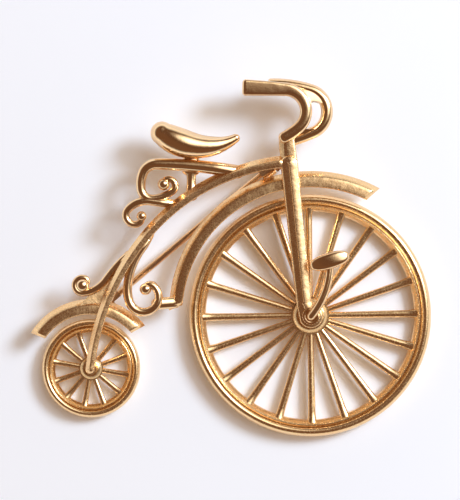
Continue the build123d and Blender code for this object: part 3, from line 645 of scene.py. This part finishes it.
# %% [markdown]
# ## Handlebar
#
# Two bent bars lie one above the other, joined by two small webs. The near one was filed flat in
# front, so its section starts nearly square and grows rounder along the bend, and its grip ends in
# a cut face with a broken edge. A bevelled curve has one section all the way, so both are bars
# from arrays, and the webs are slabs that run along them.

# %% Two bars
NEAR_LEVEL, FAR_LEVEL = 5.8, 4.1
NEAR_START, NEAR_HEADING = HEAD + [-6.2, 10.69], -1.8
NEAR_ARCS = [(203.0, -1.6), (3.06, -136.6), (11.7, -11.6)]
NEAR_WIDTHS = [(0.0, 2.3), (0.4, 1.85), (1.0, 1.7)]
NEAR_POWERS = [(0.25, 0.3), (0.6, 0.75)]
FAR_START, FAR_HEADING = HEAD + [-2.63, 11.25], 1.6
FAR_ARCS = [(17.6, -18.9), (3.2, -138.9), (26.2, -7.4)]
FAR_HALF = 0.85
near_path = arc_path(NEAR_START, NEAR_HEADING, NEAR_ARCS)
far_path = arc_path(FAR_START, FAR_HEADING, FAR_ARCS)
near_radii = through(NEAR_WIDTHS, near_path[2]) / 2
near_power = np.interp(near_path[2], *np.transpose(NEAR_POWERS))
near_bar = round_bar(near_path, NEAR_LEVEL, near_radii, power=near_power, start="cut", sides=48)
far_bar = round_bar(far_path, FAR_LEVEL, FAR_HALF, start="cut")
add_piece("near_bar", [near_bar], "frame", "bright_gold", "handlebar_near")

# %% Webs between the bars
WEB_BACK, WEB_FACE, WEB_RISE = 3.5, 4.8, 0.45
WEB_WAIST = 0.3


def bar_web(near_from, near_to, far_from, far_to):
    """P(u, v) = far + v (near - far), between a stretch of each bar, and waisted by sin(pi v)."""
    u = np.linspace(-1, 1, 24)[:, None]
    v = np.linspace(0, 1, 12)[None, :]
    share = 0.5 + 0.5 * u * (1 - WEB_WAIST * np.sin(np.pi * v))
    near = at_shares(near_path, near_from + share * (near_to - near_from))
    far = at_shares(far_path, far_from + share * (far_to - far_from))
    return slab(far + v[:, :, None] * (near - far), WEB_FACE + WEB_RISE * v, WEB_BACK)


webs = [bar_web(0.35, 0.6, 0.24, 0.53), bar_web(0.84, 0.9, 0.74, 0.87)]
add_piece("far_bar", [far_bar, *webs], "frame", "bright_gold", "handlebar_far")

# %% [markdown]
# ## Wheels
#
# Each wheel is one casting: a broad round bead, a groove, a ring inside it with a narrow crest and
# a slope, round spokes that flare where they meet the ring, and a hub with a conical ring round
# it. The Array modifier could turn one spoke round the hub. Here the rings are turned, and all the
# spokes of a wheel are one array, with the spoke's number as a third parameter.

# %% Spokes
SPOKE_ROWS, SPOKE_SIDES = 48, 20
SPOKE_POWER = 0.85
FLARE, FLARE_POWER = 0.45, 1.6


def spokes(hub, level, inside, outside, count, first, hub_half, rim_half, foot):
    """P(k, u, v) = hub + R(k) (x(u), r(u) cos v), level + r(u) sin v, turned to spoke k.

    The radius r(u) rounds off near the hub, grows evenly outwards and flares at the rim, and the
    last ring closes to a point under the rim's crest.
    """
    u = np.linspace(0, 1, SPOKE_ROWS)
    x = inside + u * (outside - inside)
    from_tip = np.clip((x - inside) / hub_half, 0, 1)
    in_foot = np.clip((x - outside + foot) / foot, 0, 1)
    r = (hub_half + u * (rim_half - hub_half)) * np.sqrt(1 - (1 - from_tip) ** 2)
    r = r * (1 + FLARE * in_foot**FLARE_POWER)
    r[-1] = 0
    v = np.linspace(0, 2 * np.pi, SPOKE_SIDES, endpoint=False)
    across = r[:, None] * bent(np.cos(v), SPOKE_POWER)
    height = level + r[:, None] * bent(np.sin(v), SPOKE_POWER)
    turn = np.radians(first + 360 / count * np.arange(count))[:, None, None]
    px = hub[0] + np.cos(turn) * x[:, None] - np.sin(turn) * across
    py = hub[1] + np.sin(turn) * x[:, None] + np.cos(turn) * across
    grid = np.stack([px, py, np.broadcast_to(height, px.shape)], axis=3)
    return [patch(one, loop_columns=True) for one in grid]


print("each spoke is a grid of", SPOKE_ROWS, "by", SPOKE_SIDES, "points")

# %% Rim and hub
# The ring's crest and slope, drawn about its middle for one width, from the groove inwards.
RING_WIDTH = 0.85
RING_SHAPE = np.array([
    (0.42, 0.10), (0.36, 0.22), (0.28, 0.26), (0.20, 0.21), (-0.42, -0.36), (-0.48, -0.48),
])
RING_LAP, RING_DROP = 0.06, 0.04
HUB_FRONT, HUB_BACK = DECK - 0.15, 0.1
FLANGE_BACK, RECESS_FRONT = 0.5, 0.8
RIM_STEPS, HUB_STEPS = 240, 96
SPOKE_SHORT = 0.1


def rim_section(radius, level, bead, rim):
    """The bead's oval from its back round to the groove, then the ring, closed behind."""
    a = np.linspace(-np.pi / 2, 0.8 * np.pi, 30)
    bead_reach = radius - bead[0] / 2 * (1 - np.cos(a))
    bead_part = np.stack([bead_reach, level + bead[1] / 2 * np.sin(a)], axis=1)
    ring_middle = (radius - bead[0] - rim[0] / 2 + RING_LAP, level + rim[1] / 2 - RING_DROP)
    ring_part = ring_middle + RING_SHAPE * rim[0] / RING_WIDTH
    low = level - rim[1] / 2
    back = [(ring_part[-1, 0], low), (radius - bead[0], low)]
    return np.concatenate([bead_part, ring_part, back])


def cast_wheel(hub, radius, bead, rim, flange, ring, core, bore, recess, spoke):
    """A turned rim, a turned hub with its conical ring, and a wreath of spokes, round one hub.

    Bead and rim are (width, height). Flange, core, bore and recess are the hub's radii.
    """
    level = bead[1] / 2
    face = level + rim[1] / 2
    crest = face + 0.45 * ring
    hub_section = [
        (recess, HUB_BACK), (core, HUB_BACK), (core, FLANGE_BACK), (flange, FLANGE_BACK),
        (flange, face - 0.1), (core, face - 0.1), (core, HUB_FRONT), (bore, HUB_FRONT),
        (bore, RECESS_FRONT), (recess, RECESS_FRONT),
    ]
    ring_section = [
        (core - 0.05, 0.6), (flange, 0.6), (flange, face - 0.45 * ring),
        (flange - 0.04, face - 0.36 * ring), (core + 0.3, crest - 0.05), (core + 0.2, crest),
        (core + 0.08, crest - 0.02), (core - 0.05, crest - 0.15),
    ]
    return [
        turned(hub, rim_section(radius, level, bead, rim), True, RIM_STEPS),
        turned(hub, hub_section, True, HUB_STEPS),
        turned(hub, ring_section, True, HUB_STEPS),
        *spokes(hub, level, flange - ring, radius - bead[0] - SPOKE_SHORT, **spoke),
    ]


print("the ring's slope falls by", np.ptp(RING_SHAPE[:, 1]).round(2), "mm from its crest")

# %% Two wheels
WHEELS = {
    "front_wheel": dict(
        hub=FRONT_HUB, radius=17.2, bead=(1.55, 2.4), rim=(0.85, 1.5),
        flange=2.7, ring=0.8, core=1.7, bore=0.46, recess=1.0,
        spoke=dict(count=20, first=1.0, hub_half=0.41, rim_half=0.56, foot=1.75),
    ),
    "rear_wheel": dict(
        hub=REAR_HUB, radius=7.0, bead=(1.2, 2.0), rim=(0.7, 1.3),
        flange=1.7, ring=0.55, core=0.85, bore=0.35, recess=0.85,
        spoke=dict(count=12, first=20.0, hub_half=0.34, rim_half=0.43, foot=1.2),
    ),
}
for wheel, sizes in WHEELS.items():
    add_piece(f"{wheel}_casting", cast_wheel(**sizes), wheel, "satin_gold", wheel)

# %% [markdown]
# ## Axles
#
# Each wheel sits on a rivet with a flat head, sunk in the wheel's back. The front one ends inside
# the crank and turns with it, and the rear one ends inside the spine's tail. A cylinder with a disc
# would do, but one turned profile gives the head, the shank and a slightly domed end together.

# %% Axles
HEAD_BACK, HEAD_FRONT, HEAD_LIP = 0.25, 0.75, 0.5
AXLE_DOME, AXLE_STEPS = 0.16, 64


def axle(hub, radius, front):
    """A rivet turned about the hub: flat head at the back, slightly domed front end."""
    t = np.linspace(0, np.pi / 2, 6)
    head = radius + HEAD_LIP
    profile = np.concatenate([
        [(0.0, HEAD_BACK), (head, HEAD_BACK), (head, HEAD_FRONT), (radius, HEAD_FRONT)],
        np.stack([radius * np.cos(t), front - AXLE_DOME + AXLE_DOME * np.sin(t)], axis=1),
    ])
    return turned(hub, profile, False, AXLE_STEPS)


front_axle = axle(FRONT_HUB, radius=0.45, front=6.75)
rear_axle = axle(REAR_HUB, radius=0.3, front=5.3)
add_piece("front_axle_rivet", [front_axle], "front_wheel", "bright_gold", "front_axle")
add_piece("rear_axle_rivet", [rear_axle], "frame", "bright_gold", "rear_axle")

# %% [markdown]
# ## Crank and pedal
#
# The large wheel turns with a bowed crank and a rounded pedal, both polished. The crank is a bar on
# one arc over a low turned boss. The pedal looks like a pebble with soft corners. It could be a
# cube under a Subdivision Surface, but an ellipsoid with its waves bent by a power has the same
# soft corners, and two numbers set them.

# %% Crank and pedal
CRANK_BACK, CRANK_LEVEL, CRANK_HALF = 5.85, 6.525, 0.6
CRANK_REACH, CRANK_HEADING, CRANK_TURN, CRANK_POWER = 8.2, 50.6, 42.0, 1.15
BOSS_STEPS = 64
BOSS = [
    (0.0, 0.0), (1.15, 0.0), (1.25, 0.1), (1.25, 0.3), (1.17, 0.43), (1.0, 0.47), (0.86, 0.39),
    (0.0, 0.39),
]
crank_radius = CRANK_REACH / (2 * np.sin(np.radians(CRANK_TURN / 2)))
crank_path = arc_path(FRONT_HUB, CRANK_HEADING, [(crank_radius, CRANK_TURN)])
crank_boss = turned(FRONT_HUB, np.array(BOSS) + [0.0, CRANK_BACK], False, BOSS_STEPS)
crank_bar = round_bar(crank_path, CRANK_LEVEL, CRANK_HALF, power=CRANK_POWER)
add_piece("crank_arm", [crank_boss, crank_bar], "front_wheel", "bright_gold", "crank")


def pebble(centre, level, half_length, half_width, half_height, tilt, along_power, across_power):
    """P(u, v) = centre + R(tilt) (a cos u, b sin u cos v), level + c sin u sin v, waves bent."""
    u = np.linspace(0, np.pi, 49)[:, None]
    v = np.linspace(0, 2 * np.pi, 48, endpoint=False)[None, :]
    along = half_length * bent(np.cos(u), along_power) * np.ones_like(v)
    girth = bent(np.sin(u), along_power)
    side = half_width * girth * bent(np.cos(v), across_power)
    x = centre[0] + np.cos(tilt) * along - np.sin(tilt) * side
    y = centre[1] + np.sin(tilt) * along + np.cos(tilt) * side
    z = level + half_height * girth * bent(np.sin(v), across_power)
    return patch(np.stack([x, y, z], axis=2), loop_columns=True)


pedal = pebble(crank_path[0][-1], level=7.05, half_length=2.85, half_width=1.15, half_height=0.95,
               tilt=np.radians(16.7), along_power=0.85, across_power=0.6)
add_piece("pedal_block", [pedal], "front_wheel", "bright_gold", "pedal")

# %% [markdown]
# ## Shader sums
#
# A finish is a small sum: so much of a fine grain plus so much of a slow wave. In Blender's editor
# each plus sign is a Math node with two links. A socket wrapped in a small class lets the sum be
# written as a sum, and adds the nodes by itself.

# %% Sums on sockets
class Socket:
    """A shader socket that can be added, multiplied and subtracted like a number."""

    def __init__(self, tree, link=None):
        self.tree, self.link = tree, link

    def node(self, kind, settings=(), inputs=(), output=0):
        """Adds a node of any kind: its settings first, then the values or links of its sockets."""
        made = self.tree.nodes.new(kind)
        for name, value in dict(settings).items():
            if name == "stops":
                for index, (place, colour) in enumerate(value):
                    stops = made.color_ramp.elements
                    stop = stops[index] if index < 2 else stops.new(place)
                    stop.position, stop.color = place, colour
            else:
                setattr(made, name, value)
        for name, value in dict(inputs).items():
            if isinstance(value, Socket):
                self.tree.links.new(value.link, made.inputs[name])
            else:
                made.inputs[name].default_value = value
        return Socket(self.tree, made.outputs[output] if made.outputs else None)

    def maths(self, operation, first, second):
        """Adds a Math node for two values or sockets."""
        return self.node("ShaderNodeMath", {"operation": operation}, {0: first, 1: second})

    def __add__(self, other):
        return self.maths("ADD", self, other)

    def __radd__(self, other):
        return self.maths("ADD", other, self)

    def __mul__(self, other):
        return self.maths("MULTIPLY", self, other)

    def __rmul__(self, other):
        return self.maths("MULTIPLY", other, self)

    def __sub__(self, other):
        return self.maths("SUBTRACT", self, other)

    def __rsub__(self, other):
        return self.maths("SUBTRACT", other, self)


def blank(name):
    """A material with an empty tree, and the socket to start its sums from."""
    material = bpy.data.materials.new(name)
    material.use_nodes = True
    material.node_tree.nodes.clear()
    return material, Socket(material.node_tree)


print("sockets can be added, subtracted and multiplied")

# %% [markdown]
# ## Gold finishes
#
# The whole brooch is one cast metal with a thin gold-tone plating. Its fronts are satin with a fine
# sandy grain from the mould, the wheels are a little smoother, the curls, grips and saddle were
# polished, and the findings on the back are plain drawn metal. A scanned texture could give the
# grain, but noise on Object coordinates has no seams and doesn't slide when a wheel turns. So each
# finish is one metal shader whose colour, roughness and bump come from noise.

# %% A plated metal
TONE_SCALE, WAVE_SCALE = 260.0, 700.0


def gold(name, light, deep, roughness, spread, grain_scale, grain_height, wave_height):
    """Plated metal: two gold tones mixed by a slow noise, a fine grain in roughness and bump."""
    material, start = blank(name)
    place = start.node("ShaderNodeTexCoord", output="Object")
    slow, grain, wave = (
        start.node("ShaderNodeTexNoise", {}, {"Vector": place, "Scale": scale, "Detail": detail})
        for scale, detail in ((TONE_SCALE, 2.0), (grain_scale, 3.0), (WAVE_SCALE, 1.0))
    )
    tone = start.node("ShaderNodeMix", {"data_type": "RGBA"},
                      {0: slow, 6: light, 7: deep}, output=2)
    height = grain * grain_height + wave * wave_height
    bump = start.node("ShaderNodeBump", {}, {"Height": height, "Distance": 1.0, "Strength": 1.0})
    metal = start.node("ShaderNodeBsdfPrincipled", {}, {
        "Base Color": tone, "Metallic": 1.0,
        "Roughness": roughness + spread * (grain - 0.5), "Normal": bump,
    })
    start.node("ShaderNodeOutputMaterial", {}, {"Surface": metal})
    return material


print("gold tones change over about", round(1 / TONE_SCALE / MM, 1), "mm")

# %% Four gold finishes
FINISHES = {
    "satin_gold": dict(
        light=(0.97, 0.71, 0.40, 1), deep=(0.87, 0.53, 0.25, 1), roughness=0.26, spread=0.24,
        grain_scale=3600.0, grain_height=1.3e-5, wave_height=4.5e-5,
    ),
    "bright_gold": dict(
        light=(0.97, 0.73, 0.44, 1), deep=(0.90, 0.58, 0.31, 1), roughness=0.14, spread=0.14,
        grain_scale=4200.0, grain_height=7e-6, wave_height=2e-5,
    ),
    "finding_gold": dict(
        light=(0.93, 0.68, 0.42, 1), deep=(0.86, 0.57, 0.33, 1), roughness=0.22, spread=0.15,
        grain_scale=4500.0, grain_height=6e-6, wave_height=4e-6,
    ),
    "wheel_gold": dict(
        light=(0.98, 0.73, 0.41, 1), deep=(0.90, 0.56, 0.27, 1), roughness=0.25, spread=0.2,
        grain_scale=4000.0, grain_height=6e-6, wave_height=2.5e-5,
    ),
}
finishes = {name: gold(name, **look) for name, look in FINISHES.items()}
slot_of = {part["node"]: part["material_slot"] for part in frame["record"]["subparts"]}
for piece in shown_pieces():
    slot = piece.get("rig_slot") or slot_of.get(piece.name, "finding_gold")
    finish = "wheel_gold" if "wheel_casting" in piece.name else slot
    piece.data.materials.clear()
    piece.data.materials.append(finishes[finish])

# %% [markdown]
# ## Table
#
# The brooch lies on a plain white table, so that its shadow shows. White could come from more
# light, but then the gold would be too bright. Instead the table has a faint warm glow of its own,
# and only the camera and mirrors see it: the Light Path node tells such rays from the light that
# the table throws back on the brooch.

# %% White table
TABLE_SIZE, TABLE_DROP = 3.0, 0.00003
TABLE_WHITE, TABLE_GLOW = (0.945, 0.95, 0.98, 1), (0.11, 0.081, 0.052, 1)
bpy.ops.mesh.primitive_plane_add(size=TABLE_SIZE, location=(0, 0, -TABLE_DROP))
table = bpy.context.object
table.name = "table"
material, start = blank("white_table")
white = start.node("ShaderNodeBsdfDiffuse", {}, {"Color": TABLE_WHITE})
seen = start.node("ShaderNodeLightPath", output="Is Camera Ray")
mirrored = start.node("ShaderNodeLightPath", output="Is Glossy Ray")
passed = start.node("ShaderNodeLightPath", output="Is Transmission Ray")
glow = start.node("ShaderNodeEmission", {}, {"Color": TABLE_GLOW, "Strength": 1.0})
lifted = start.node("ShaderNodeAddShader", {}, {0: white, 1: glow})
surface = start.node("ShaderNodeMixShader", {}, {0: seen + mirrored + passed, 1: white, 2: lifted})
start.node("ShaderNodeOutputMaterial", {}, {"Surface": surface})
table.data.materials.append(material)
print("table of", TABLE_SIZE, "m, with", len(material.node_tree.nodes), "nodes")

# %% [markdown]
# ## Lamp and room
#
# A soft lamp from the right and above throws the shadow to the lower left. Polished metal shows
# what is round it, so the room matters as much as the lamp. A photographed room could be wrapped
# round the scene. Here a few stops of colour are enough: a bright window high on the right, a pale
# horizon all round, and a dark brown room between them, which is what gives the gold its contrast.

# %% Lamp
def direction(azimuth, elevation):
    """The unit vector (cos e cos a, cos e sin a, sin e) towards a place in the room."""
    a, e = np.radians(azimuth), np.radians(elevation)
    return np.array([np.cos(e) * np.cos(a), np.cos(e) * np.sin(a), np.sin(e)])


LAMP_AZIMUTH, LAMP_ELEVATION, LAMP_DISTANCE = 29, 39, 0.6
LAMP_WATTS = 3.05
lamp_data = bpy.data.lights.new("window_lamp", "AREA")
lamp_data.shape = "DISK"
lamp_data.size = 0.2
lamp_data.energy = LAMP_WATTS
lamp_data.color = (0.65, 0.81, 1.0)
lamp = bpy.data.objects.new("window_lamp", lamp_data)
bpy.context.scene.collection.objects.link(lamp)
lamp.location = LAMP_DISTANCE * direction(LAMP_AZIMUTH, LAMP_ELEVATION)
lamp.rotation_mode = "QUATERNION"
lamp.rotation_quaternion = lamp.location.to_track_quat("Z", "Y")
print("lamp of", LAMP_WATTS, "W at", [round(value, 3) for value in lamp.location])

# %% Room
# Stops are (place, colour), the two ends first. The window's place is the cosine of the angle to
# its middle, and the horizon's is the sine of the height above the table.
WINDOW_AZIMUTH, WINDOW_ELEVATION = 38, 50
WINDOW_STOPS = [
    (0.5, (0.17, 0.088, 0.05, 1)), (0.985, (2.9, 2.9, 2.9, 1)), (0.80, (0.125, 0.066, 0.04, 1)),
    (0.88, (0.5, 0.43, 0.37, 1)), (0.95, (2.0, 1.95, 1.9, 1)),
]
HORIZON_STOPS = [
    (0.0, (1.3, 1.3, 1.3, 1)), (0.42, (0.0, 0.0, 0.0, 1)), (0.2, (0.95, 0.92, 0.9, 1)),
]
room = bpy.data.worlds.new("room")
bpy.context.scene.world = room
room.use_nodes = True
room.node_tree.nodes.clear()
start = Socket(room.node_tree)
way_out = start.node("ShaderNodeTexCoord", output="Generated")
up = start.node("ShaderNodeSeparateXYZ", {}, {"Vector": way_out}, output="Z")
window_way = tuple(direction(WINDOW_AZIMUTH, WINDOW_ELEVATION))
to_window = start.node("ShaderNodeVectorMath", {"operation": "DOT_PRODUCT"},
                       {0: way_out, 1: window_way}, output="Value")
window = start.node("ShaderNodeValToRGB", {"stops": WINDOW_STOPS}, {"Fac": to_window})
horizon = start.node("ShaderNodeValToRGB", {"stops": HORIZON_STOPS}, {"Fac": up})
shade = start.node("ShaderNodeMix", {"data_type": "RGBA", "blend_type": "LIGHTEN"},
                   {0: 1.0, 6: window, 7: horizon}, output=2)
light = start.node("ShaderNodeBackground", {}, {"Color": shade, "Strength": 1.0})
start.node("ShaderNodeOutputWorld", {}, {"Surface": light})
print("room with", len(WINDOW_STOPS), "window stops and", len(HORIZON_STOPS), "horizon stops")

# %% [markdown]
# ## Camera
#
# The picture was taken from straight above, with no side of the brooch showing. An orthographic
# camera would do. A long lens from 0.4 m keeps the little perspective that a real one has. Its
# length follows from the height of the view, which is the picture's height at the brooch's scale.

# %% Camera straight above
CAMERA_HEIGHT, VIEW_HEIGHT, SENSOR = 0.4, 0.07125, 36.0
VIEW_MIDDLE = (-0.000214, 0.001069)
camera_data = bpy.data.cameras.new("camera")
camera_data.sensor_width = SENSOR
camera_data.lens = SENSOR * CAMERA_HEIGHT / VIEW_HEIGHT
camera = bpy.data.objects.new("camera", camera_data)
bpy.context.scene.collection.objects.link(camera)
camera.location = (*VIEW_MIDDLE, CAMERA_HEIGHT)
bpy.context.scene.camera = camera
bpy.context.scene.view_settings.view_transform = "Standard"
print("lens", round(camera_data.lens, 1), "mm")

# %% [markdown]
# ## The end
#
# The finer surfaces must not change the brooch's size. The last call brings the scene up to date.

# %% Last update
bpy.context.view_layer.update()
